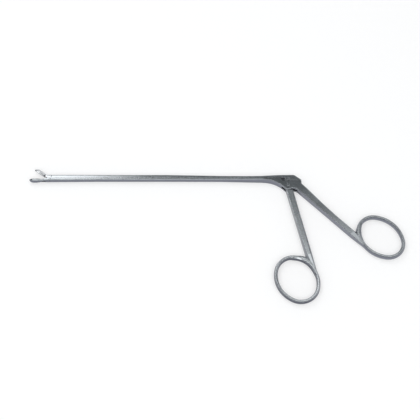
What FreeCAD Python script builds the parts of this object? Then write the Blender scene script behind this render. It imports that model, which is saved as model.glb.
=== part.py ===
"""Ring-handled pituitary rongeur with a sliding upper shaft, lying on its side, in millimetres.

X runs along the shaft, from the jaws at -X to the handles at +X. Y is across the shaft, towards the slide.
Z is the instrument's thickness. The origin lies on the lever's pivot axis, where it meets the side face
that the instrument rests on. Every piece is drawn about its own mid-plane and then raised by half the
hub's width. The jaws and the handles stand open.
"""

import FreeCAD, Part

import os

import Sketcher

doc = FreeCAD.newDocument("pituitary_rongeur")
sheet = doc.addObject("Spreadsheet::Sheet", "size")

SIZES = {
    # shaft: lower half and slide, with the seam between them
    "tip_reach": 166.4,
    "nose_behind": 11.3,
    "ear_ahead": 2.1,
    "ear_width": 3.0,
    "shoulder_behind": 0.5,
    "taper_behind": 34.1,
    "flare_start": 78.0,
    "flare_mid": 44.0,
    "flare_late": 28.0,
    "hub_reach": 16.1,
    "shaft_width": 3.5,
    "shaft_width_mid": 3.8,
    "shaft_width_late": 4.55,
    "shaft_round": 0.7,
    "seam_height": 5.25,
    "seam_gap": 0.05,
    "lower_depth_front": 1.54,
    "lower_depth": 1.27,
    "lower_depth_late": 1.45,
    "lower_depth_hub": 1.58,
    "slide_depth": 2.35,
    "slide_depth_mid": 1.6,
    "slide_depth_late": 1.3,
    "slide_depth_hub": 1.25,
    # hub
    "hub_width": 5.2,
    "hub_edge": 0.35,
    "throat_round": 18.7,
    "throat_end": 1.8,
    "cheek_radius": 3.3,
    "ledge_height": 3.2,
    "gap_top": 4.5,
    "gap_foot": 3.6,
    "hub_rear": 8.6,
    "crotch_height": 2.55,
    "crotch_round": 5.0,
    "lever_slot_width": 2.4,
    "slot_front": 2.6,
    "slot_knee": 0.6,
    "slot_throat": 4.3,
    "slot_reach": 9.0,
    "slot_rear": 2.7,
    "slot_run_out": 7.5,
    # slide's rear block
    "block_front": 1.95,
    "block_depth_front": 1.8,
    "block_depth": 1.9,
    "block_shoulder": 5.5,
    "block_crown": 3.9,
    "block_crown_round": 1.6,
    "block_rear": 8.6,
    "block_heel": 0.45,
    "block_heel_back": 0.9,
    "block_slot_height": 6.15,
    "block_slot_half": 1.95,
    # guide lugs
    "guide_neck": 1.0,
    "guide_head": 1.9,
    "guide_neck_depth": 0.35,
    "guide_head_depth": 0.35,
    "guide_root": 0.1,
    "guide_length": 9.0,
    "front_guide_behind": 9.1,
    "rear_guide_reach": 34.0,
    "groove_lead": 1.6,
    # rear handle and thumb ring
    "rear_lean": 44.8,
    "rear_axis_start": 6.1,
    "rear_root": 6.0,
    "root_overlap": 1.0,
    "rear_neck": 18.0,
    "rear_neck_drop": 0.25,
    "rear_waist": 32.0,
    "rear_waist_drop": 0.35,
    "rear_low_above": 14.3,
    "rear_low_drop": 0.15,
    "rear_end_above": 0.3,
    "rear_end_drop": 0.8,
    "rear_width_hub": 4.95,
    "rear_width_neck": 4.05,
    "rear_width": 3.5,
    "rear_thick": 4.9,
    "thumb_reach": 62.3,
    "thumb_side": 11.05,
    "thumb_half_length": 15.85,
    "thumb_half_width": 11.85,
    "thumb_round": 9.7,
    # lever and finger ring
    "lever_lean": 13.5,
    "lever_width_top": 4.3,
    "lever_width": 4.05,
    "lever_width_low": 4.2,
    "lever_thick": 4.6,
    "lever_bevel": 1.15,
    "lever_start": 1.0,
    "lever_mid": 22.0,
    "lever_low_above": 14.3,
    "lever_low_side": 0.15,
    "lever_end_below": 1.5,
    "lever_end_side": 1.5,
    "shoulder_gap": 0.12,
    "shoulder_relief": 1.9,
    "lever_boss": 1.95,
    "drive_boss": 1.4,
    "drive_arm": 4.6,
    "finger_reach": 64.9,
    "finger_side": 11.25,
    "finger_half_length": 15.7,
    "finger_half_width": 12.6,
    "finger_round": 10.9,
    "finger_turn": 13.1,
    # both rings, and the webs between them and the handles
    "bar_width": 2.4,
    "bar_depth": 4.1,
    "end_width": 1.2,
    "end_thick": 3.0,
    "rear_web_station": 0.3,
    "rear_web_side": 5.8,
    "rear_web_radius": 16.5,
    "front_web_station": 1.4,
    "front_web_side": 5.0,
    "front_web_radius": 16.4,
    # jaws
    "jaw_swing": 34.0,
    "jaw_radius": 1.8,
    "jaw_wall": 0.42,
    "rim_height": 4.72,
    "rim_gap": 0.06,
    "scoop_nose": 2.9,
    "belly_behind": 4.8,
    "waist_ahead": 3.8,
    "waist_radius": 1.4,
    "lower_cup_ahead": 3.9,
    "upper_jaw_short": 1.0,
    "upper_jaw_radius": 1.75,
    "upper_cup_ahead": 3.2,
    "upper_heel_ahead": 2.2,
    "jaw_pivot_behind": 2.3,
    "jaw_pivot_height": 4.62,
    "link_arm": 1.95,
    "tang_width": 1.1,
    "tang_root": 0.3,
    "tang_rise": 0.05,
    "tang_drop": 0.1,
    "tang_boss": 0.52,
    "link_boss": 0.56,
    "fork_slot_width": 1.2,
    "tang_slot_floor": 4.02,
    "tang_slot_behind": 1.2,
    "fork_behind": 1.9,
    "window_front_ahead": 3.2,
    "window_rear_ahead": 0.9,
    "drain_behind": 1.6,
    "drain_radius": 0.42,
    # pins
    "jaw_pin_radius": 0.28,
    "link_pin_radius": 0.27,
    "lever_pin_radius": 1.0,
    "drive_pin_radius": 0.65,
    "running_gap": 0.04,
    "press_gap": 0.005,
    "pin_recess": 0.05,
    "pin_edge": 0.08,
}

for row, (alias, value) in enumerate(SIZES.items(), start=1):
    sheet.set(f"A{row}", alias)
    sheet.set(f"B{row}", str(value))
    sheet.setAlias(f"B{row}", alias)
doc.recompute()

# Sizes that follow from the sheet, as expressions.
JAW_HALF = "(size.jaw_swing / 2 * 1deg)"
HALF_TRAVEL = f"(size.link_arm * tan({JAW_HALF}))"
LEVER_HALF = f"atan({HALF_TRAVEL} / size.drive_arm)"
MID_PLANE = "size.hub_width / 2"
NOSE = "(size.tip_reach - size.nose_behind)"
SHAFT_SHOULDER = f"({NOSE} - size.shoulder_behind)"
JAW_PIVOT = f"({NOSE} - size.jaw_pivot_behind)"
BELLY = "(size.tip_reach - size.belly_behind)"
FRONT_GUIDE = f"({NOSE} - size.front_guide_behind)"
SLIDE_FOOT = "(size.seam_height + size.seam_gap)"
LEDGE_FOOT = "(size.ledge_height + size.seam_gap)"
LINK_HEIGHT = "(size.jaw_pivot_height + size.link_arm)"
REAR = "(size.rear_lean * 1deg)"
THROAT_TOP = "(size.seam_height - size.lower_depth_hub)"
SHOULDER = "(size.cheek_radius + size.shoulder_gap)"
SAME = 0.01  # spots nearer than this count as one, when edges are picked

# Where a ring runs into its handle, the bar broadens to a web. Each span is its angle in degrees round the
# web's inner edge, then the web's width and its reach out from that edge, both in widths of the ring's bar.
REAR_WEB = ((20, 0.75, 0.65), (36, 1.2, 1.2), (50, 1.65, 1.65), (64, 1.5, 1.5), (84, 0.75, 0.85))
FRONT_WEB = (
    (12, 0.75, 0.77),
    (30, 1.33, 1.33),
    (43, 1.65, 1.75),
    (56, 1.65, 1.75),
    (72, 1.12, 1.12),
    (92, 0.75, 0.95),
)


def worth(text):
    """The number that an expression gives with the sheet's present values."""
    value = sheet.evalExpression(text)
    return float(getattr(value, "Value", value))


def origin_plane(body, role):
    """One of a body's own three planes."""
    return next(f for f in body.Origin.OriginFeatures if f.Role == role)


def new_body(label):
    body = doc.addObject("PartDesign::Body", label)
    body.Label = label
    return body


def new_sketch(body, name, role, offsets=None):
    """A sketch on one of the body's own planes. Its offset and turn about local Y are expressions."""
    sketch = body.newObject("Sketcher::SketchObject", name)
    sketch.AttachmentSupport = (origin_plane(body, role), [""])
    sketch.MapMode = "FlatFace"
    offsets = dict(offsets or {})
    if "turn_about" in offsets:
        axis = offsets.pop("turn_about")
        sketch.AttachmentOffset = FreeCAD.Placement(
            FreeCAD.Vector(), FreeCAD.Rotation(FreeCAD.Vector(*axis), 1)
        )
        sketch.setExpression("AttachmentOffset.Rotation.Angle", offsets.pop("turn"))
    for axis, text in offsets.items():
        sketch.setExpression(f"AttachmentOffset.Base.{axis}", text)
    return sketch


def bind(sketch, constraint, text):
    """Adds a constraint whose value follows an expression."""
    index = sketch.addConstraint(constraint)
    sketch.setExpression(f"Constraints[{index}]", text)


def arc_between(start, end, radius, side):
    """The short arc between two points, with its centre to the left (side 1) or right (-1) of the way."""
    middle = (start + end) / 2
    chord = end - start
    left = FreeCAD.Vector(-chord.y, chord.x, 0).normalize()
    rise = (radius**2 - (chord.Length / 2) ** 2) ** 0.5
    centre = middle + left * (side * rise)
    first, last = (start, end) if side > 0 else (end, start)
    circle = Part.Circle(centre, FreeCAD.Vector(0, 0, 1), radius)
    return Part.ArcOfCircle(circle, circle.parameter(first), circle.parameter(last))


def quarter_between(start, end, side):
    """The quarter of an ellipse that leaves the start upright and reaches the end level."""
    centre = FreeCAD.Vector(end.x, start.y, 0)
    whole = Part.Ellipse(centre, abs(start.x - end.x), abs(end.y - start.y))
    first, last = (start, end) if side > 0 else (end, start)
    return Part.ArcOfEllipse(whole, whole.parameter(first), whole.parameter(last))


def outline(sketch, path):
    """A closed outline of lines and curves.

    A vertex is (x, y), or (x, y, radius, side) where an arc leads on from it, or (x, y, None, side) where
    a quarter of an ellipse does.
    """
    spots = [FreeCAD.Vector(worth(v[0]), worth(v[1]), 0) for v in path]
    ends = []
    for i, vertex in enumerate(path):
        start, end = spots[i], spots[(i + 1) % len(path)]
        if len(vertex) == 2:
            edge = sketch.addGeometry(Part.LineSegment(start, end), False)
            ends.append((edge, 1, 2))
        else:
            radius, side = vertex[2:]
            if radius:
                curved = arc_between(start, end, worth(radius), side)
            else:
                curved = quarter_between(start, end, side)
            edge = sketch.addGeometry(curved, False)
            ends.append((edge, 1, 2) if vertex[3] > 0 else (edge, 2, 1))
    for i, vertex in enumerate(path):
        edge, first, last = ends[i]
        following = ends[(i + 1) % len(path)]
        sketch.addConstraint(Sketcher.Constraint("Coincident", edge, last, following[0], following[1]))
        bind(sketch, Sketcher.Constraint("DistanceX", -1, 1, edge, first, spots[i].x), vertex[0])
        bind(sketch, Sketcher.Constraint("DistanceY", -1, 1, edge, first, spots[i].y), vertex[1])
        if len(vertex) > 2 and vertex[2]:
            bind(sketch, Sketcher.Constraint("Radius", edge, worth(vertex[2])), vertex[2])
        elif len(vertex) > 2:
            after = (i + 1) % len(path)
            bind(sketch, Sketcher.Constraint("DistanceX", -1, 1, edge, 3, spots[after].x), path[after][0])
            bind(sketch, Sketcher.Constraint("DistanceY", -1, 1, edge, 3, spots[i].y), vertex[1])
            sketch.exposeInternalGeometry(edge)
            long_axis = sketch.GeometryCount - 4
            sketch.addConstraint(Sketcher.Constraint("Horizontal", long_axis))
    return sketch


def circle(sketch, x, y, radius):
    centre = FreeCAD.Vector(worth(x), worth(y), 0)
    ring = sketch.addGeometry(Part.Circle(centre, FreeCAD.Vector(0, 0, 1), worth(radius)), False)
    bind(sketch, Sketcher.Constraint("DistanceX", -1, 1, ring, 3, centre.x), x)
    bind(sketch, Sketcher.Constraint("DistanceY", -1, 1, ring, 3, centre.y), y)
    bind(sketch, Sketcher.Constraint("Radius", ring, worth(radius)), radius)
    return sketch


def ellipse(sketch, x, half_length, half_width):
    """An ellipse whose long axis lies along the sketch's X axis, with its centre on that axis."""
    centre = FreeCAD.Vector(worth(x), 0, 0)
    curve = sketch.addGeometry(Part.Ellipse(centre, worth(half_length), worth(half_width)), False)
    sketch.exposeInternalGeometry(curve)
    long_axis, short_axis = curve + 1, curve + 2
    sketch.addConstraint(Sketcher.Constraint("Horizontal", long_axis))
    sketch.addConstraint(Sketcher.Constraint("PointOnObject", curve, 3, -1))
    bind(sketch, Sketcher.Constraint("DistanceX", -1, 1, curve, 3, centre.x), x)
    for axis, half in ((long_axis, half_length), (short_axis, half_width)):
        bind(sketch, Sketcher.Constraint("Distance", axis, 2 * worth(half)), f"2 * {half}")
    return sketch


def pad(body, sketch, length, both_sides=True, backwards=False):
    feature = body.newObject("PartDesign::Pad", sketch.Name + "_pad")
    feature.Profile = sketch
    feature.Midplane = both_sides
    feature.Reversed = backwards
    feature.setExpression("Length", length)
    sketch.Visibility = False
    return feature


def pocket(body, sketch, depth, both_sides=True, backwards=False):
    """A cut, or a cut through everything where depth is None. It must take something away."""
    before = body.Shape.Volume
    feature = body.newObject("PartDesign::Pocket", sketch.Name + "_cut")
    feature.Profile = sketch
    feature.Midplane = both_sides
    feature.Reversed = backwards
    if depth is None:
        feature.Type = "ThroughAll"
    else:
        feature.setExpression("Length", depth)
    doc.recompute()
    if body.Shape.Volume >= before:
        raise RuntimeError(f"{feature.Name} cuts nothing")
    return feature


def loft(body, sketches, straight=True):
    """A run through the sections, with straight sides from each to the next or else with smooth ones."""
    feature = body.newObject("PartDesign::AdditiveLoft", sketches[0].Name + "_loft")
    feature.Profile = sketches[0]
    feature.Sections = sketches[1:]
    feature.Ruled = straight
    doc.recompute()
    return feature


def rounded_edges(body, radius, chosen, kind="PartDesign::Fillet"):
    """Rounds the edges of the body's present shape that the test picks."""
    doc.recompute()
    names = [f"Edge{i}" for i, edge in enumerate(body.Shape.Edges, start=1) if chosen(edge)]
    feature = body.newObject(kind, f"{body.Name}_edges_{len(body.Group)}")
    feature.Base = (body.Group[-2], names)
    feature.setExpression("Radius" if kind.endswith("Fillet") else "Size", radius)
    doc.recompute()
    return feature


def lies_on_sides(edge, half_width):
    """Whether an edge lies in one of the two flat side faces."""
    return all(abs(abs(v.Z) - half_width) < 1e-6 for v in edge.Vertexes)


def bar_section(body, name, station, side, width, thick, bevel, lean=None, start="0"):
    """A bevelled rectangle across a handle, at a station along its axis and a side step from it.

    The axis leaves (start, 0) downwards, leaning by an angle towards +X.
    """
    offsets = {"x": f"{start} + {side}", "z": station}
    if lean:
        offsets["x"] = f"{start} + ({station}) * sin({lean}) + ({side}) * cos({lean})"
        offsets["z"] = f"({station}) * cos({lean}) - ({side}) * sin({lean})"
        offsets["turn_about"] = (0, 1, 0)
        offsets["turn"] = lean
    sketch = new_sketch(body, name, "XZ_Plane", offsets)
    out, rise = f"({width}) / 2", f"({thick}) / 2"
    out_cut, rise_cut = f"({out} - {bevel})", f"({rise} - {bevel})"
    return outline(
        sketch,
        [
            (f"-{out_cut}", f"-{rise}"),
            (out_cut, f"-{rise}"),
            (out, f"-{rise_cut}"),
            (out, rise_cut),
            (out_cut, rise),
            (f"-{out_cut}", rise),
            (f"-{out}", rise_cut),
            (f"-{out}", f"-{rise_cut}"),
        ],
    )


def ring_bar(body, name, x, y, turn, out, width, depth):
    """A twelve-sided oval across a ring's bar, a distance out from (x, y) at an angle from -Y towards +X."""
    sketch = new_sketch(
        body,
        name,
        "XZ_Plane",
        {"x": x, "z": f"-({y})", "turn_about": (0, 1, 0), "turn": f"({turn}) - 90deg"},
    )
    flat = "tan(15deg)"
    corners = (("1", flat), (f"(1 - {flat})", f"(1 - {flat})"), (flat, "1"))
    path = []
    for side, top in ((1, 1), (-1, 1), (-1, -1), (1, -1)):
        for across, up in corners[:: side * top]:
            path.append((f"{out} + {side} * {across} * {width} / 2", f"{top} * {up} * {depth} / 2"))
    return outline(sketch, path)


def ring(body, name, x, y, half_length, half_width, end_radius, lean):
    """A closed finger ring: its bar turned along the four arcs of an oval about (x, y).

    The oval's long axis leans from -Y towards +X by the given angle. It has two end arcs and two flank arcs.
    """
    square = f"{half_length}^2 + {half_width}^2 - 2 * {half_length} * {end_radius}"
    flank_radius = f"(({square}) / (2 * ({half_width} - {end_radius})))"
    end_turn = f"atan(({flank_radius} - {half_width}) / ({half_length} - {end_radius}))"
    arcs = (
        (f"({lean}) - 90deg", half_width, flank_radius, f"180deg - 2 * {end_turn}"),
        (f"({lean})", half_length, end_radius, f"2 * {end_turn}"),
        (f"({lean}) + 90deg", half_width, flank_radius, f"180deg - 2 * {end_turn}"),
        (f"({lean}) + 180deg", half_length, end_radius, f"2 * {end_turn}"),
    )
    for i, (way, apex, radius, angle) in enumerate(arcs):
        centre_x = f"(({x}) + ({apex} - {radius}) * sin({way}))"
        centre_y = f"(({y}) - ({apex} - {radius}) * cos({way}))"
        width, depth = "size.bar_width", "size.bar_depth"
        bar = ring_bar(body, f"{name}_{i}", centre_x, centre_y, way, radius, width, depth)
        turned = body.newObject("PartDesign::Revolution", f"{name}_{i}_turned")
        turned.Profile = bar
        turned.ReferenceAxis = (bar, ["V_Axis"])
        turned.Midplane = True
        turned.setExpression("Angle", angle)
        doc.recompute()


def web(body, name, x, y, radius, spans, lean, sense):
    """The broadened bar where a ring runs into its handle, with a round inner edge about (x, y).

    The angles of its spans run from the lean, one way or the other. Its two ends lie sunk in the ring's bar.
    """
    sections = []
    for i, (angle, width, reach) in enumerate(spans):
        depth = "size.end_thick" if i in (0, len(spans) - 1) else "size.bar_depth"
        out = f"-({radius} + ({reach} - {width} / 2) * size.bar_width)"
        way, across = f"({lean}) + {sense * angle}deg", f"({width} * size.bar_width)"
        sections.append(ring_bar(body, f"{name}_{i}", x, y, way, out, across, depth))
    return loft(body, sections, straight=False)


def shaft_section(body, name, reach, width, foot, top, round_at_top):
    """A section across the shaft. Its two corners away from the seam are rounded."""
    sketch = new_sketch(body, name, "YZ_Plane", {"z": f"-({reach})"})
    half = f"({width}) / 2"
    near = f"({half} - size.shaft_round)"
    if round_at_top:
        cut = f"({top} - size.shaft_round)"
        path = [
            (foot, f"-{half}"),
            (cut, f"-{half}", "size.shaft_round", 1),
            (top, f"-{near}"),
            (top, near, "size.shaft_round", 1),
            (cut, half),
            (foot, half),
        ]
    else:
        cut = f"({foot} + size.shaft_round)"
        path = [
            (top, half),
            (cut, half, "size.shaft_round", 1),
            (foot, near),
            (foot, f"-{near}", "size.shaft_round", 1),
            (cut, f"-{half}"),
            (top, f"-{half}"),
        ]
    return outline(sketch, path)


def half_turn(body, sketch, kind):
    """A revolution or groove of half a turn about the sketch's X axis, evenly on both sides of it."""
    feature = body.newObject(kind, sketch.Name + "_turned")
    feature.Profile = sketch
    feature.ReferenceAxis = (sketch, ["H_Axis"])
    feature.Midplane = True
    feature.Angle = 180
    doc.recompute()
    return feature


def place(body, x, y, turn=None):
    """Puts a finished piece in its place, with its mid-plane half the hub's width up."""
    if turn:
        body.Placement = FreeCAD.Placement(FreeCAD.Vector(), FreeCAD.Rotation(FreeCAD.Vector(0, 0, 1), 1))
        body.setExpression("Placement.Rotation.Angle", turn)
    body.setExpression("Placement.Base.x", x)
    body.setExpression("Placement.Base.y", y)
    body.setExpression("Placement.Base.z", MID_PLANE)


def bore(body, name, x, y, radius):
    """A round hole through the whole thickness."""
    pocket(body, circle(new_sketch(body, name, "XY_Plane"), x, y, radius), None)


def link_plate(sketch, first_boss, second_boss, length):
    """Two round bosses joined by their common tangents, the second one further up the sketch's Y axis."""
    slant = f"asin((({first_boss}) - ({second_boss})) / ({length}))"
    near_x, near_y = f"({first_boss}) * cos({slant})", f"({first_boss}) * sin({slant})"
    far_x, far_y = f"({second_boss}) * cos({slant})", f"({length}) + ({second_boss}) * sin({slant})"
    return outline(
        sketch,
        [
            ("0", f"-({first_boss})", first_boss, 1),
            (near_x, near_y),
            (far_x, far_y, second_boss, 1),
            ("0", f"({length}) + ({second_boss})", second_boss, 1),
            (f"-{far_x}", far_y),
            (f"-{near_x}", near_y, first_boss, 1),
        ],
    )


def oblong(sketch, low, high, radius):
    """A slot along the sketch's Y axis, between two centres."""
    return outline(
        sketch,
        [
            (radius, low),
            (radius, high, radius, 1),
            ("0", f"({high}) + ({radius})", radius, 1),
            (f"-({radius})", high),
            (f"-({radius})", low, radius, 1),
            ("0", f"({low}) - ({radius})", radius, 1),
        ],
    )


def box_outline(sketch, left, low, right, high):
    return outline(sketch, [(left, low), (right, low), (right, high), (left, high)])


def pin(label, radius, length, x, y):
    """A flush pin with slightly broken ends, standing along Z."""
    body = new_body(label)
    pad(body, circle(new_sketch(body, f"{label}_circle", "XY_Plane"), "0", "0", radius), length)
    rounded_edges(body, "size.pin_edge", lambda edge: len(edge.Vertexes) == 1, "PartDesign::Chamfer")
    place(body, x, y)
    return body


def on_rear(station, side):
    """X and Y of a spot on the rear handle: a station along its axis and a side step from it."""
    return (
        f"(size.rear_axis_start + ({station}) * sin({REAR}) + ({side}) * cos({REAR}))",
        f"(-({station}) * cos({REAR}) + ({side}) * sin({REAR}))",
    )


def hub(body):
    """The slotted hub in side view: throat, cheek disc, handle root, ledge and the slide's travel gap."""
    root_half = "size.rear_width_hub / 2"
    edge_start = f"((size.hub_rear - size.rear_axis_start - {root_half} * cos({REAR})) / sin({REAR}))"
    crotch_station = f"((size.crotch_height - {root_half} * sin({REAR})) / cos({REAR}))"
    crotch_run = f"(size.crotch_round * tan((90deg - {REAR}) / 2))"
    crotch_x, crotch_y = on_rear(crotch_station, f"-{root_half}")
    cheek_x = "sqrt(size.cheek_radius^2 - size.crotch_height^2)"
    cheek_y = "sqrt(size.cheek_radius^2 - size.throat_end^2)"
    sketch = new_sketch(body, "hub_outline", "XY_Plane")
    outline(
        sketch,
        [
            ("-size.hub_reach", "size.seam_height"),
            ("-size.hub_reach", THROAT_TOP, "size.throat_round", -1),
            ("-size.throat_end", f"-{cheek_y}", "size.cheek_radius", 1),
            (cheek_x, "-size.crotch_height"),
            (f"({crotch_x} - {crotch_run})", "-size.crotch_height", "size.crotch_round", -1),
            on_rear(f"{crotch_station} + {crotch_run}", f"-{root_half}"),
            on_rear("size.rear_root", f"-{root_half}"),
            on_rear("size.rear_root", root_half),
            on_rear(edge_start, root_half),
            ("size.hub_rear", "size.ledge_height"),
            ("-size.gap_foot", "size.ledge_height"),
            ("-size.gap_top", "size.seam_height"),
        ],
    )
    pad(body, sketch, "size.hub_width")
    half, front = worth("size.hub_width / 2"), worth("-size.hub_reach")
    doc.recompute()
    rounded_edges(
        body,
        "size.hub_edge",
        lambda edge: lies_on_sides(edge, half) and max(v.X for v in edge.Vertexes) > front + SAME,
        "PartDesign::Chamfer",
    )


def rear_handle(body):
    """The rear handle, tapering from the hub into the side of the thumb ring."""
    root = "size.rear_root - size.root_overlap"
    low, end = "size.thumb_reach - size.rear_low_above", "size.thumb_reach - size.rear_end_above"
    edge, thick = "size.hub_edge", "size.rear_thick"
    stations = (
        ("root", root, "0", "size.rear_width_hub", "size.hub_width", edge),
        ("neck", "size.rear_neck", "-size.rear_neck_drop", "size.rear_width_neck", thick, edge),
        ("waist", "size.rear_waist", "-size.rear_waist_drop", "size.rear_width", thick, edge),
        ("low", low, "-size.rear_low_drop", "size.rear_width", thick, edge),
        ("end", end, "-size.rear_end_drop", "size.end_width", "size.end_thick", edge),
    )
    axis = (REAR, "size.rear_axis_start")
    loft(body, [bar_section(body, f"rear_{name}", *rest, *axis) for name, *rest in stations])
    x, y = on_rear("size.thumb_reach", "size.thumb_side")
    half_length, half_width = "size.thumb_half_length", "size.thumb_half_width"
    ring(body, "thumb_ring", x, y, half_length, half_width, "size.thumb_round", REAR)
    x, y = on_rear("(size.thumb_reach + size.rear_web_station)", "(size.thumb_side + size.rear_web_side)")
    web(body, "rear_web", x, y, "size.rear_web_radius", REAR_WEB, REAR, 1)


def lower_shaft(body):
    """The lower half of the shaft: a tapered front, a straight middle and a flare into the hub."""
    top = "size.seam_height"
    spots = {
        "ear": (f"({NOSE} + size.ear_ahead)", "size.ear_width", "size.lower_depth_front"),
        "cheekbone": (SHAFT_SHOULDER, "size.shaft_width", "size.lower_depth_front"),
        "front": (f"({NOSE} - size.taper_behind)", "size.shaft_width", "size.lower_depth"),
        "start": ("size.flare_start", "size.shaft_width", "size.lower_depth"),
        "mid": ("size.flare_mid", "size.shaft_width_mid", "size.lower_depth"),
        "late": ("size.flare_late", "size.shaft_width_late", "size.lower_depth_late"),
        "hub": ("size.hub_reach", "size.hub_width", "size.lower_depth_hub"),
    }

    def section(name, suffix=""):
        reach, width, depth = spots[name]
        return shaft_section(body, f"lower_{name}{suffix}", reach, width, f"({top} - {depth})", top, False)

    loft(body, [section("start", "_flare"), section("mid"), section("late"), section("hub")])
    loft(body, [section("ear"), section("cheekbone"), section("front"), section("start")])


def lower_jaw(body):
    """The fixed cup jaw: half a turned scoop, hollowed out."""
    nose = "size.tip_reach - size.scoop_nose"
    waist, cup_end = f"-({NOSE} + size.waist_ahead)", f"-({NOSE} + size.lower_cup_ahead)"
    outer = new_sketch(body, "lower_jaw_scoop", "XY_Plane", {"y": "size.rim_height"})
    outline(
        outer,
        [
            ("-size.tip_reach", "0", None, 1),
            (f"-({nose})", "-size.jaw_radius"),
            (f"-{BELLY}", "-size.jaw_radius"),
            (waist, "-size.waist_radius"),
            (f"-{SHAFT_SHOULDER}", "-size.waist_radius"),
            (f"-{SHAFT_SHOULDER}", "0"),
        ],
    )
    half_turn(body, outer, "PartDesign::Revolution")
    inner = new_sketch(body, "lower_jaw_hollow", "XY_Plane", {"y": "size.rim_height"})
    depth = "(size.jaw_radius - size.jaw_wall)"
    outline(
        inner,
        [
            ("-(size.tip_reach - size.jaw_wall)", "0", None, 1),
            (f"-({nose})", f"-{depth}"),
            (f"-{BELLY}", f"-{depth}"),
            (cup_end, "-(size.waist_radius - size.jaw_wall)"),
            (cup_end, "0"),
        ],
    )
    half_turn(body, inner, "PartDesign::Groove")


def guide_outline(sketch, clearance):
    """A T in section: a neck below the seam and a wider head below the neck."""
    neck, head = f"(size.guide_neck / 2 + {clearance})", f"(size.guide_head / 2 + {clearance})"
    step = f"(size.seam_height - size.guide_neck_depth + {clearance})"
    foot = f"(size.seam_height - size.guide_neck_depth - size.guide_head_depth - {clearance})"
    top = f"({SLIDE_FOOT} + size.guide_root)"
    return outline(
        sketch,
        [
            (top, f"-{neck}"),
            (top, neck),
            (step, neck),
            (step, head),
            (foot, head),
            (foot, f"-{head}"),
            (step, f"-{head}"),
            (step, f"-{neck}"),
        ],
    )


def lower_cuts(body):
    """Guide groove, lever slot, tang slot with its window and drain hole, and the two pin bores."""
    groove_front = f"({FRONT_GUIDE} + size.groove_lead)"
    groove_rear = "(size.rear_guide_reach - 2 * size.guide_length - size.groove_lead)"
    groove = new_sketch(body, "guide_groove", "YZ_Plane", {"z": f"-({groove_front} + {groove_rear}) / 2"})
    guide_outline(groove, "size.running_gap")
    pocket(body, groove, f"{groove_front} - {groove_rear}")
    foot = "(size.seam_height - size.guide_neck_depth - size.guide_head_depth - size.running_gap)"
    for name, reach in (("front", FRONT_GUIDE), ("rear", "size.rear_guide_reach")):
        window = new_sketch(body, f"{name}_entry_window", "XY_Plane")
        start = f"(-{reach} + size.guide_length + size.running_gap)"
        end = f"({start} + size.guide_length + size.groove_lead)"
        box_outline(window, start, foot, end, f"({SLIDE_FOOT})")
        pocket(body, window, "size.guide_head + 2 * size.running_gap")

    slot = new_sketch(body, "lever_slot", "XY_Plane")
    outline(
        slot,
        [
            ("-size.slot_front", "size.seam_height"),
            ("-size.slot_front", "size.slot_knee"),
            ("-size.slot_throat", "-size.slot_knee"),
            ("-size.slot_throat", "-size.slot_reach"),
            on_rear("size.slot_run_out", "-size.rear_width_hub"),
            on_rear("size.slot_run_out", "-size.rear_width_hub / 2"),
            ("size.slot_rear", "size.slot_knee"),
            ("size.slot_rear", "size.seam_height"),
        ],
    )
    pocket(body, slot, "size.lever_slot_width")

    window_front, window_rear = f"-({NOSE} + size.window_front_ahead)", f"-({NOSE} + size.window_rear_ahead)"
    slot_rear = f"-({JAW_PIVOT} - size.tang_slot_behind)"
    tang = new_sketch(body, "tang_slot", "XY_Plane")
    outline(
        tang,
        [
            (window_front, "0"),
            (window_rear, "0"),
            (window_rear, "size.tang_slot_floor"),
            (slot_rear, "size.tang_slot_floor"),
            (slot_rear, SLIDE_FOOT),
            (window_front, SLIDE_FOOT),
        ],
    )
    pocket(body, tang, "size.fork_slot_width")
    drain_x = f"-({NOSE} - size.drain_behind)"
    drain = circle(new_sketch(body, "drain_hole", "XZ_Plane"), drain_x, "0", "size.drain_radius")
    pocket(body, drain, None)
    bore(body, "lever_pivot_bore", "0", "0", "size.lever_pin_radius + size.press_gap")
    bore(
        body,
        "jaw_pivot_bore",
        f"-{JAW_PIVOT}",
        "size.jaw_pivot_height",
        "size.jaw_pin_radius + size.press_gap",
    )


def shaft_with_thumb_ring():
    """Lower cup jaw, lower shaft, slotted hub, rear handle and thumb ring, as one forging."""
    body = new_body("shaft_with_thumb_ring")
    hub(body)
    rear_handle(body)
    lower_shaft(body)
    lower_jaw(body)
    lower_cuts(body)
    place(body, "0", "0")
    return body


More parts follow.
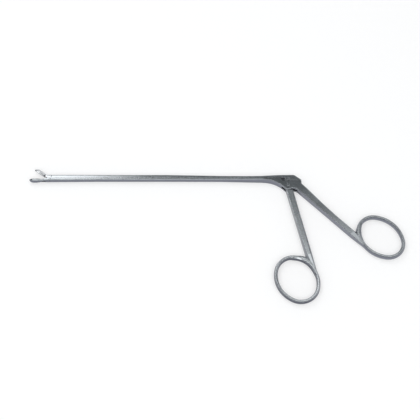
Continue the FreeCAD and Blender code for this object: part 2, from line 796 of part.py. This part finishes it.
def upper_slide():
    """The sliding upper half of the shaft, with its guide lugs, forked nose and slotted rear block."""
    body = new_body("upper_slide")
    foot = SLIDE_FOOT
    spots = {
        "nose": (NOSE, "size.shaft_width", "size.slide_depth"),
        "start": ("size.flare_start", "size.shaft_width", "size.slide_depth"),
        "mid": ("size.flare_mid", "size.shaft_width_mid", "size.slide_depth_mid"),
        "late": ("size.flare_late", "size.shaft_width_late", "size.slide_depth_late"),
        "hub": ("size.hub_reach", "size.hub_width", "size.slide_depth_hub"),
    }

    def section(name, suffix=""):
        reach, width, depth = spots[name]
        return shaft_section(body, f"slide_{name}{suffix}", reach, width, foot, f"({foot} + {depth})", True)

    top = f"({foot} + size.block_depth)"
    heel = f"({LEDGE_FOOT} + size.block_heel)"
    slope = f"atan(({top} - {heel}) / (size.block_rear - size.block_crown))"
    run = f"(size.block_crown_round * tan({slope} / 2))"
    block = new_sketch(body, "block_outline", "XY_Plane")
    outline(
        block,
        [
            ("-size.hub_reach", foot),
            ("-size.block_front", foot),
            ("-size.block_front", LEDGE_FOOT),
            ("(size.block_rear - size.block_heel_back)", LEDGE_FOOT),
            ("size.block_rear", heel),
            (
                f"(size.block_crown + {run} * cos({slope}))",
                f"({top} - {run} * sin({slope}))",
                "size.block_crown_round",
                1,
            ),
            (f"(size.block_crown - {run})", top),
            ("-size.block_shoulder", f"({foot} + size.block_depth_front)"),
            ("-size.hub_reach", f"({foot} + size.slide_depth_hub)"),
        ],
    )
    pad(body, block, "size.hub_width")
    half, front = worth("size.hub_width / 2"), worth("-size.hub_reach")
    seam, ledge = worth(foot), worth(LEDGE_FOOT)
    doc.recompute()
    rounded_edges(
        body,
        "size.hub_edge",
        lambda edge: lies_on_sides(edge, half)
        and max(v.X for v in edge.Vertexes) > front + SAME
        and max(v.Y for v in edge.Vertexes) > seam + SAME
        and min(v.Y for v in edge.Vertexes) > ledge + SAME,
        "PartDesign::Chamfer",
    )

    loft(body, [section("nose"), section("start")])
    loft(body, [section("start", "_flare"), section("mid"), section("late"), section("hub")])

    for name, reach in (("front", FRONT_GUIDE), ("rear", "size.rear_guide_reach")):
        lug = new_sketch(body, f"{name}_guide_lug", "YZ_Plane", {"z": f"-({reach}) + size.guide_length / 2"})
        pad(body, guide_outline(lug, "0"), "size.guide_length")
    doc.recompute()

    fork = new_sketch(body, "fork_slot", "XY_Plane")
    fork_rear = f"-({JAW_PIVOT} - size.fork_behind)"
    box_outline(fork, "-size.tip_reach", LEDGE_FOOT, fork_rear, f"({foot} + 2 * size.slide_depth)")
    pocket(body, fork, "size.fork_slot_width")
    slot = new_sketch(body, "block_slot", "XY_Plane")
    box_outline(
        slot,
        f"({HALF_TRAVEL} - size.block_slot_half)",
        "0",
        f"({HALF_TRAVEL} + size.block_slot_half)",
        "size.block_slot_height",
    )
    pocket(body, slot, "size.lever_slot_width")
    bore(body, "drive_pin_bore", HALF_TRAVEL, "size.drive_arm", "size.drive_pin_radius + size.press_gap")
    bore(
        body,
        "link_pin_bore",
        f"(-{JAW_PIVOT} + {HALF_TRAVEL})",
        LINK_HEIGHT,
        "size.link_pin_radius + size.press_gap",
    )
    place(body, "0", "0")
    return body


def upper_jaw():
    """The moving cup jaw, drawn closed about its pivot and then swung open."""
    body = new_body("upper_jaw")
    rim = "(size.rim_height + size.rim_gap - size.jaw_pivot_height)"
    tip = f"(size.tip_reach - size.upper_jaw_short - {JAW_PIVOT})"
    heel = "(size.upper_heel_ahead + size.jaw_pivot_behind)"
    belly = f"-({BELLY} - {JAW_PIVOT})"
    outer = new_sketch(body, "upper_jaw_scoop", "XY_Plane", {"y": rim})
    outline(
        outer,
        [
            (f"-{tip}", "0", None, -1),
            (f"-({tip} - size.scoop_nose)", "size.upper_jaw_radius"),
            (belly, "size.upper_jaw_radius"),
            (f"-{heel}", "size.waist_radius"),
            (f"-{heel}", "0"),
        ],
    )
    half_turn(body, outer, "PartDesign::Revolution")
    inner = new_sketch(body, "upper_jaw_hollow", "XY_Plane", {"y": rim})
    depth = "(size.upper_jaw_radius - size.jaw_wall)"
    end = "-(size.upper_cup_ahead + size.jaw_pivot_behind)"
    outline(
        inner,
        [
            (f"-({tip} - size.jaw_wall)", "0", None, -1),
            (f"-({tip} - size.scoop_nose)", depth),
            (belly, depth),
            (end, "(size.waist_radius - size.jaw_wall)"),
            (end, "0"),
        ],
    )
    half_turn(body, inner, "PartDesign::Groove")

    root, crest = f"-({heel} + size.tang_root)", f"({rim} + size.waist_radius - size.tang_drop)"
    arm = new_sketch(body, "tang_arm", "XY_Plane")
    outline(
        arm,
        [
            (root, f"({rim} + size.tang_rise)"),
            ("0", "-size.tang_boss"),
            (f"-{HALF_TRAVEL}", "(size.link_arm + size.link_boss)"),
            (f"-{heel}", crest),
            (root, crest),
        ],
    )
    pad(body, arm, "size.tang_width")
    reach = f"(size.link_arm * (1 + 1 / cos({JAW_HALF})) / 2)"
    plate = new_sketch(body, "tang_plate", "XY_Plane", {"turn_about": (0, 0, 1), "turn": JAW_HALF})
    pad(body, link_plate(plate, "size.tang_boss", "size.link_boss", reach), "size.tang_width")
    doc.recompute()
    bore(body, "tang_pivot_bore", "0", "0", "size.jaw_pin_radius + size.running_gap")
    slot = new_sketch(body, "tang_link_slot", "XY_Plane", {"turn_about": (0, 0, 1), "turn": JAW_HALF})
    link_slot_half = "(size.link_pin_radius + size.running_gap)"
    oblong(slot, "size.link_arm", f"size.link_arm / cos({JAW_HALF})", link_slot_half)
    pocket(body, slot, None)
    place(body, f"-{JAW_PIVOT}", "size.jaw_pivot_height", "-size.jaw_swing * 1deg")
    return body


def finger_ring_lever():
    """The front handle, drawn with its bar straight down from the pivot and then leant over."""
    body = new_body("finger_ring_lever")
    low, end = "size.finger_reach - size.lever_low_above", "size.finger_reach + size.lever_end_below"
    edge, thick = "size.hub_edge", "size.lever_thick"
    stations = (
        ("top", "size.lever_start", "0", "size.lever_width_top", thick, edge),
        ("mid", "size.lever_mid", "0", "size.lever_width", thick, edge),
        ("low", low, "size.lever_low_side", "size.lever_width_low", thick, "size.lever_bevel"),
        ("end", end, "size.lever_end_side", "size.end_width", "size.end_thick", edge),
    )
    loft(body, [bar_section(body, f"lever_{name}", *rest) for name, *rest in stations])
    x, y, lean = "-size.finger_side", "-size.finger_reach", "size.finger_turn * 1deg + 180deg"
    half_length, half_width = "size.finger_half_length", "size.finger_half_width"
    ring(body, "finger_ring", x, y, half_length, half_width, "size.finger_round", lean)
    x, y = f"({x} - size.front_web_side)", f"({y} - size.front_web_station)"
    web(body, "front_web", x, y, "size.front_web_radius", FRONT_WEB, "0deg", -1)
    tongue = "(size.lever_slot_width / 2 - size.running_gap)"
    sides = (("upper_shoulder", tongue, True), ("lower_shoulder", f"-{tongue}", False))
    for name, level, upwards in sides:
        shoulder = new_sketch(body, name, "XY_Plane", {"z": level})
        outline(
            shoulder,
            [
                ("-size.lever_width_top", "0"),
                (f"-{SHOULDER}", "0", SHOULDER, 1),
                ("0", f"-{SHOULDER}"),
                ("size.lever_width_top", "-(size.cheek_radius + size.shoulder_relief)"),
                ("size.lever_width_top", "0"),
                ("size.lever_width_top", "size.lever_width_top"),
                ("-size.lever_width_top", "size.lever_width_top"),
            ],
        )
        pocket(body, shoulder, None, both_sides=False, backwards=upwards)
    turn = f"-(size.lever_lean * 1deg + {LEVER_HALF})"
    plate = new_sketch(body, "drive_arm", "XY_Plane", {"turn_about": (0, 0, 1), "turn": turn})
    reach = f"(size.drive_arm * (1 + 1 / cos({LEVER_HALF})) / 2)"
    pad(body, link_plate(plate, "size.lever_boss", "size.drive_boss", reach), f"2 * {tongue}")
    doc.recompute()
    bore(body, "lever_bore", "0", "0", "size.lever_pin_radius + size.running_gap")
    slot = new_sketch(body, "drive_slot", "XY_Plane", {"turn_about": (0, 0, 1), "turn": turn})
    drive_slot_half = "(size.drive_pin_radius + size.running_gap)"
    oblong(slot, "size.drive_arm", f"size.drive_arm / cos({LEVER_HALF})", drive_slot_half)
    pocket(body, slot, None)
    place(body, "0", "0", "size.lever_lean * 1deg")
    return body


shaft_pin_length = "size.shaft_width - 2 * size.pin_recess"
hub_pin_length = "size.hub_width - 2 * size.pin_recess"
link_x = f"-{JAW_PIVOT} + {HALF_TRAVEL}"
pieces = [
    shaft_with_thumb_ring(),
    upper_slide(),
    upper_jaw(),
    finger_ring_lever(),
    pin("jaw_pivot_pin", "size.jaw_pin_radius", shaft_pin_length, f"-{JAW_PIVOT}", "size.jaw_pivot_height"),
    pin("jaw_link_pin", "size.link_pin_radius", shaft_pin_length, link_x, LINK_HEIGHT),
    pin("lever_pivot_pin", "size.lever_pin_radius", hub_pin_length, "0", "0"),
    pin("slide_drive_pin", "size.drive_pin_radius", hub_pin_length, HALF_TRAVEL, "size.drive_arm"),
]

doc.recompute()
for thing in doc.Objects:
    if "Invalid" in thing.State or "Error" in thing.State:
        raise RuntimeError(f"{thing.Name} failed: {thing.State}")
for piece in pieces:
    if piece.Shape.isNull() or not piece.Shape.isValid() or len(piece.Shape.Solids) != 1:
        raise RuntimeError(f"{piece.Label} isn't one valid solid")

os.makedirs("parts", exist_ok=True)
for piece in pieces:
    piece.Shape.exportStep(f"parts/{piece.Label}.step")
    print(piece.Label, round(piece.Shape.Volume, 3))
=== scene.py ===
"""Looks of a ring-handled pituitary rongeur: satin surgical steel on a white studio table, in metres."""

import math

import bpy
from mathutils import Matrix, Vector


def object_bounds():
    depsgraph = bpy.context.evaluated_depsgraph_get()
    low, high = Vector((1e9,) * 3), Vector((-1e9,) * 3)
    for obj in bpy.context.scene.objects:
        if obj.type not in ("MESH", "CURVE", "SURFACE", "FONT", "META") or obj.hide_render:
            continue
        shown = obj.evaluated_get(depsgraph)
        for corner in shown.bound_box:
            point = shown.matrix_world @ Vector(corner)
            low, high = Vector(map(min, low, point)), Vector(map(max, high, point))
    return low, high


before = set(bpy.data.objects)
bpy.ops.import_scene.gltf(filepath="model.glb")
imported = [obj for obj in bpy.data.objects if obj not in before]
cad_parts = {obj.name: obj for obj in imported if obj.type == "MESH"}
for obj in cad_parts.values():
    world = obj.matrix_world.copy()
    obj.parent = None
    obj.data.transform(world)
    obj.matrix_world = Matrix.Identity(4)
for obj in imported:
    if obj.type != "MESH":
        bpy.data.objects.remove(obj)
CAD_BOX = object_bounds()

MM = 0.001

# The handles, as they lie in the frame: how far each leans, and where the rear one leaves the hub
FRONT_HANDLE_LEAN = math.radians(13.5)
REAR_HANDLE_TURN = math.radians(-44.8)
REAR_HANDLE_START = 10.5 * MM

# Steel. Real grinding lines are about 0.03 mm wide and real bead marks about 0.05 mm, too fine to show
# in the render, so both are drawn coarser here.
GRIND_LENGTH = 14 * MM
GRIND_WIDTH = 0.18 * MM
BEAD_MARK = 0.3 * MM
CLOUD = 9 * MM
MARK_DEPTH = 0.006 * MM
# Painted shade and painted highlights: how far the painted shade reaches from slots, gaps and the table, how
# round the edges are shaded, and the colours of the painted shade and of the painted edge highlights
PAINTED_SHADE_REACH = 2.4 * MM
EDGE_ROUNDING = 0.25 * MM
PAINTED_SHADE_COLOUR = "#2A2C33"
EDGE_HIGHLIGHT_COLOUR = "#D8DBDD"

# Table. The laminate's own texture is about 0.5 mm and is drawn at 2 mm, as coarse as it needs to show.
LAMINATE_GRAIN = 2 * MM
TABLE_HALF = 4.0
TABLE_GLOW = 0.46

# Camera: the photograph's width and its focal length in its own pixels, and the view's two ends
PHOTO_WIDTH = 420
FOCAL_PIXELS = 1568.6
SENSOR_WIDTH = 36.0
CAMERA_PLACE = Vector((-50.1, -471.0, 893.6)) * MM
CAMERA_TARGET = Vector((-50.11, -17.02, 2.6)) * MM
FAR_CLIP = 20

# A Mix node's sockets, which go by number because its float, vector and colour sockets share their names
FACTOR = 0
FLOAT_A, FLOAT_B = 2, 3
VECTOR_A, VECTOR_B = 4, 5
COLOUR_A, COLOUR_B = 6, 7
FLOAT_OUT, VECTOR_OUT, COLOUR_OUT = 0, 1, 2


def linear(hex_colour, alpha=1.0):
    """A linear colour from its sRGB hex value."""
    values = [int(hex_colour[i : i + 2], 16) / 255 for i in (1, 3, 5)]
    return [v / 12.92 if v <= 0.04045 else ((v + 0.055) / 1.055) ** 2.4 for v in values] + [alpha]


def add(tree, kind, settings=None, links=None):
    """Adds a node. Settings are its properties, socket values or colour stops, and links feed its sockets."""
    node = tree.nodes.new(kind)
    for key, value in (settings or {}).items():
        if key == "stops":
            elements = node.color_ramp.elements
            while len(elements) < len(value):
                elements.new(0.5)
            for element, (position, colour) in zip(elements, value):
                element.position = position
                element.color = linear(colour)
        elif isinstance(key, int) or key in node.inputs.keys():
            node.inputs[key].default_value = value
        else:
            setattr(node, key, value)
    for key, socket in (links or {}).items():
        tree.links.new(socket, node.inputs[key])
    return node


def new_material(name):
    material = bpy.data.materials.new(name)
    material.use_nodes = True
    material.node_tree.nodes.clear()
    return material, material.node_tree


def grinding_lines(tree, place, turn, has_rear_handle):
    """The faint lines that grinding draws. They run at that angle, and on the rear handle along it."""
    grain = {"vector_type": "TEXTURE", "Scale": (GRIND_LENGTH, GRIND_WIDTH, GRIND_WIDTH)}
    along = add(tree, "ShaderNodeMapping", grain | {"Rotation": (0, 0, turn)}, {"Vector": place}).outputs[0]
    if has_rear_handle:
        spot = add(tree, "ShaderNodeSeparateXYZ", links={"Vector": place})
        past_hub = {"operation": "GREATER_THAN", 1: REAR_HANDLE_START}
        on_handle = add(tree, "ShaderNodeMath", past_hub, {0: spot.outputs["X"]})
        turned = grain | {"Rotation": (0, 0, REAR_HANDLE_TURN)}
        handle_grain = add(tree, "ShaderNodeMapping", turned, {"Vector": place})
        both = {FACTOR: on_handle.outputs[0], VECTOR_A: along, VECTOR_B: handle_grain.outputs[0]}
        along = add(tree, "ShaderNodeMix", {"data_type": "VECTOR"}, both).outputs[VECTOR_OUT]
    return add(tree, "ShaderNodeTexNoise", {"Scale": 1.0, "Detail": 3.0}, {"Vector": along}).outputs["Fac"]


def paint_crevice_shade(tree, colour):
    """Painted shade: the steel's colour is painted darker in its slots and gaps and along the table, where
    little light gets in.
    """
    near = add(tree, "ShaderNodeAmbientOcclusion", {"samples": 8, "Distance": PAINTED_SHADE_REACH}).outputs["AO"]
    unshaded_place = add(tree, "ShaderNodeMapRange", {"From Min": 0.32, "From Max": 0.62}, {"Value": near})
    settings = {"data_type": "RGBA", COLOUR_A: linear(PAINTED_SHADE_COLOUR)}
    return add(tree, "ShaderNodeMix", settings, {FACTOR: unshaded_place.outputs[0], COLOUR_B: colour})


def paint_edge_highlights(tree, colour, upright, rounded_normal, highlight_strength):
    """Painted highlights: edges are painted bright, on the side that turns up towards the flat."""
    rounded = add(tree, "ShaderNodeSeparateXYZ", links={"Vector": rounded_normal})
    rounded = add(tree, "ShaderNodeMath", {"operation": "ABSOLUTE"}, {0: rounded.outputs["Z"]})
    rise = add(tree, "ShaderNodeMath", {"operation": "SUBTRACT"}, {0: rounded.outputs[0], 1: upright})
    reach = {"From Min": 0.02, "From Max": 0.12, "To Max": highlight_strength}
    edge = add(tree, "ShaderNodeMapRange", reach, {"Value": rise.outputs[0]})
    settings = {"data_type": "RGBA", COLOUR_B: linear(EDGE_HIGHLIGHT_COLOUR)}
    return add(tree, "ShaderNodeMix", settings, {FACTOR: edge.outputs[0], COLOUR_A: colour})


def satin_steel(name, light, dark, side, roughness=0.2, grain_turn=0.0, has_rear_handle=False, highlight_strength=0.6):
    """Martensitic stainless steel, finished by grinding, then glass-bead blasted to a low-glare satin.

    The eye sees a soft grey sheen, faint drawn lines along the piece and a cloudy change of tone. Painted
    light and shade follow which way a face turns: faces that turn up take the lighter flat colours, and the
    rounded sides take the side colour, the steel's blue-grey painted darker. Slots, gaps and faces near the
    table are painted darker as painted shade, and edges are painted bright as painted highlights.
    """
    material, tree = new_material(name)
    place = add(tree, "ShaderNodeTexCoord").outputs
    where = {"Vector": place["Object"]}
    lines = grinding_lines(tree, place["Object"], grain_turn, has_rear_handle)
    blast = add(tree, "ShaderNodeTexNoise", {"Scale": 1 / BEAD_MARK, "Detail": 2.0}, where)
    cloud = add(tree, "ShaderNodeTexNoise", {"Scale": 1 / CLOUD, "Detail": 2.0}, where)

    patterns = {FLOAT_A: lines, FLOAT_B: cloud.outputs["Fac"]}
    tone = add(tree, "ShaderNodeMix", {"data_type": "FLOAT", FACTOR: 0.55}, patterns)
    stops = [(0.32, dark), (0.68, light)]
    flats = add(tree, "ShaderNodeValToRGB", {"stops": stops}, {"Fac": tone.outputs[FLOAT_OUT]})

    # Painted light and shade by facing: faces that turn up get the lighter flat colours, faces that turn away
    # the darker side colour
    facing = add(tree, "ShaderNodeSeparateXYZ", links={"Vector": place["Normal"]})
    upright = add(tree, "ShaderNodeMath", {"operation": "ABSOLUTE"}, {0: facing.outputs["Z"]}).outputs[0]
    flat_range = {"From Min": 0.45, "From Max": 0.9, "interpolation_type": "SMOOTHSTEP"}
    painted_light_facing_up = add(tree, "ShaderNodeMapRange", flat_range, {"Value": upright})
    side_to_flat = {FACTOR: painted_light_facing_up.outputs[0], COLOUR_B: flats.outputs["Color"]}
    colour = add(tree, "ShaderNodeMix", {"data_type": "RGBA", COLOUR_A: linear(side)}, side_to_flat)
    # Painted shade in slots, gaps and along the table
    colour = paint_crevice_shade(tree, colour.outputs[COLOUR_OUT])
    rounded = add(tree, "ShaderNodeBevel", {"samples": 8, "Radius": EDGE_ROUNDING}).outputs[0]
    # Painted highlights along edges
    colour = paint_edge_highlights(tree, colour.outputs[COLOUR_OUT], upright, rounded, highlight_strength)

    spread = {"From Min": 0.3, "From Max": 0.7, "To Min": roughness - 0.05, "To Max": roughness + 0.06}
    rough = add(tree, "ShaderNodeMapRange", spread, {"Value": lines})
    score_depth = {"Strength": 0.15, "Distance": MARK_DEPTH}
    scored = add(tree, "ShaderNodeBump", score_depth, {"Height": lines, "Normal": rounded}).outputs[0]
    pit_depth = {"Strength": 0.12, "Distance": MARK_DEPTH}
    pitted = add(tree, "ShaderNodeBump", pit_depth, {"Height": blast.outputs["Fac"], "Normal": scored})
    finish = {
        "Base Color": colour.outputs[COLOUR_OUT],
        "Roughness": rough.outputs[0],
        "Normal": pitted.outputs[0],
    }
    shader = add(tree, "ShaderNodeBsdfPrincipled", {"Metallic": 1.0}, finish)
    add(tree, "ShaderNodeOutputMaterial", links={"Surface": shader.outputs[0]})
    return material


def white_table():
    """Matt white laminate. The eye sees plain white, with a soft shadow under the instrument."""
    material, tree = new_material("white_laminate_table")
    where = {"Vector": add(tree, "ShaderNodeTexCoord").outputs["Object"]}
    grain = add(tree, "ShaderNodeTexNoise", {"Scale": 1 / LAMINATE_GRAIN, "Detail": 2.0}, where)
    stops = [(0.3, "#C4C4C4"), (0.7, "#C8C8C8")]
    colour = add(tree, "ShaderNodeValToRGB", {"stops": stops}, {"Fac": grain.outputs["Fac"]})

    path = add(tree, "ShaderNodeLightPath").outputs
    either = {"operation": "MAXIMUM"}
    seen = add(tree, "ShaderNodeMath", either, {0: path["Is Camera Ray"], 1: path["Is Glossy Ray"]})
    seen = add(tree, "ShaderNodeMath", either, {0: seen.outputs[0], 1: path["Is Transmission Ray"]})
    glow = add(tree, "ShaderNodeMath", {"operation": "MULTIPLY", 1: TABLE_GLOW}, {0: seen.outputs[0]})
    matt_white = {"Roughness": 0.8, "Specular IOR Level": 0.2, "Emission Color": linear("#FFFFFF")}
    links = {"Base Color": colour.outputs["Color"], "Emission Strength": glow.outputs[0]}
    shader = add(tree, "ShaderNodeBsdfPrincipled", matt_white, links)
    add(tree, "ShaderNodeOutputMaterial", links={"Surface": shader.outputs[0]})
    return material


def studio_world():
    """Pale walls round the table and a dimmer ceiling."""
    world = bpy.data.worlds.new("pale_studio")
    world.use_nodes = True
    tree = world.node_tree
    tree.nodes.clear()
    way = add(tree, "ShaderNodeTexCoord").outputs["Generated"]
    parts = add(tree, "ShaderNodeSeparateXYZ", links={"Vector": way})
    stops = [(0.0, "#FFFFFF"), (0.2, "#E0E1E3"), (0.5, "#9A9DA0"), (0.85, "#707476")]
    light = add(tree, "ShaderNodeValToRGB", {"stops": stops}, {"Fac": parts.outputs["Z"]})
    glow = add(tree, "ShaderNodeBackground", {"Strength": 1.0}, {"Color": light.outputs["Color"]})
    add(tree, "ShaderNodeOutputWorld", links={"Surface": glow.outputs[0]})
    bpy.context.scene.world = world


def softbox(name, place, target, size, brightness):
    """A rectangular soft lamp whose face is that many times as bright as white."""
    width, height = size
    lamp = bpy.data.lights.new(name, "AREA")
    lamp.shape = "RECTANGLE"
    lamp.size, lamp.size_y = width, height
    lamp.energy = brightness * math.pi * width * height
    holder = bpy.data.objects.new(name, lamp)
    holder.location = place
    holder.rotation_euler = (Vector(target) - Vector(place)).to_track_quat("-Z", "Y").to_euler()
    bpy.context.scene.collection.objects.link(holder)


def set_camera():
    """The photograph's view: 27 degrees off the instrument's side face, from a metre away."""
    data = bpy.data.cameras.new("camera")
    data.sensor_width = SENSOR_WIDTH
    data.lens = SENSOR_WIDTH * FOCAL_PIXELS / PHOTO_WIDTH
    data.clip_end = FAR_CLIP
    camera = bpy.data.objects.new("camera", data)
    camera.location = CAMERA_PLACE
    camera.rotation_euler = (CAMERA_TARGET - CAMERA_PLACE).to_track_quat("-Z", "Y").to_euler()
    bpy.context.scene.collection.objects.link(camera)
    bpy.context.scene.camera = camera


def lay_table():
    """The table's top, level with the side that the instrument lies on."""
    low, half = CAD_BOX[0].z, TABLE_HALF
    corners = [(-half, -half, low), (half, -half, low), (half, half, low), (-half, half, low)]
    mesh = bpy.data.meshes.new("table")
    mesh.from_pydata(corners, [], [(0, 1, 2, 3)])
    table = bpy.data.objects.new("table", mesh)
    table.data.materials.append(white_table())
    bpy.context.scene.collection.objects.link(table)


def paint(node, material):
    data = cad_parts[node].data
    data.materials.clear()
    data.materials.append(material)


bpy.context.scene.view_settings.view_transform = "Standard"
set_camera()
studio_world()
lay_table()
softbox("left_softbox", (-0.295, 0.34, 0.62), (-0.12, 0.0, 0.0), (0.24, 0.4), brightness=3.2)
softbox("front_softbox", (-0.05, -0.68, 1.34), (-0.05, 0.0, 0.0), (2.4, 1.3), brightness=1.9)
softbox("right_softbox", (0.17, 0.15, 0.62), (0.03, -0.04, 0.0), (0.28, 0.15), brightness=1.6)

# The frame and the slide are blasted alike and show as a mid-grey satin, the sliding piece a little lighter;
# on each, the side colour is painted shade on faces that turn away from up
frame_steel = satin_steel(
    "bead_blasted_stainless_steel_frame",
    light="#9EA2A5",
    dark="#8E9295",
    side="#787B86",
    has_rear_handle=True,
)
slide_steel = satin_steel(
    "bead_blasted_stainless_steel_slide",
    light="#A4A8AB",
    dark="#979B9E",
    side="#868994",
)

# The lever is a lighter copy of the frame's steel: its broad face is painted brighter, a painted highlight,
# and its bevels darker, painted shade, so it shows as a pale band with dark borders
lever_steel = satin_steel(
    "bead_blasted_stainless_steel_lever",
    light="#C4C8CB",
    dark="#B7BBBE",
    side="#585B66",
    grain_turn=FRONT_HANDLE_LEAN - math.pi / 2,
)

# The cup is polished fine and shows a broad sheen: its face is painted nearly white, a painted reflection,
# between sides painted darker as painted shade
cup_steel = satin_steel(
    "fine_polished_stainless_steel_cup",
    light="#F4F5F6",
    dark="#ECEEF0",
    side="#5C5F66",
    roughness=0.4,
)

# The pins' ends are levelled by grinding, flush with the pieces round them: they can hardly be seen and get
# no painted edge highlight
pin_steel = satin_steel(
    "ground_stainless_steel_pin",
    light="#9DA1A4",
    dark="#8D9194",
    side="#8A8D93",
    roughness=0.25,
    highlight_strength=0.0,
)

paint("shaft_with_thumb_ring", frame_steel)
paint("upper_slide", slide_steel)
paint("upper_jaw", cup_steel)
paint("finger_ring_lever", lever_steel)
for pin in ("jaw_pivot_pin", "jaw_link_pin", "lever_pivot_pin", "slide_drive_pin"):
    paint(pin, pin_steel)
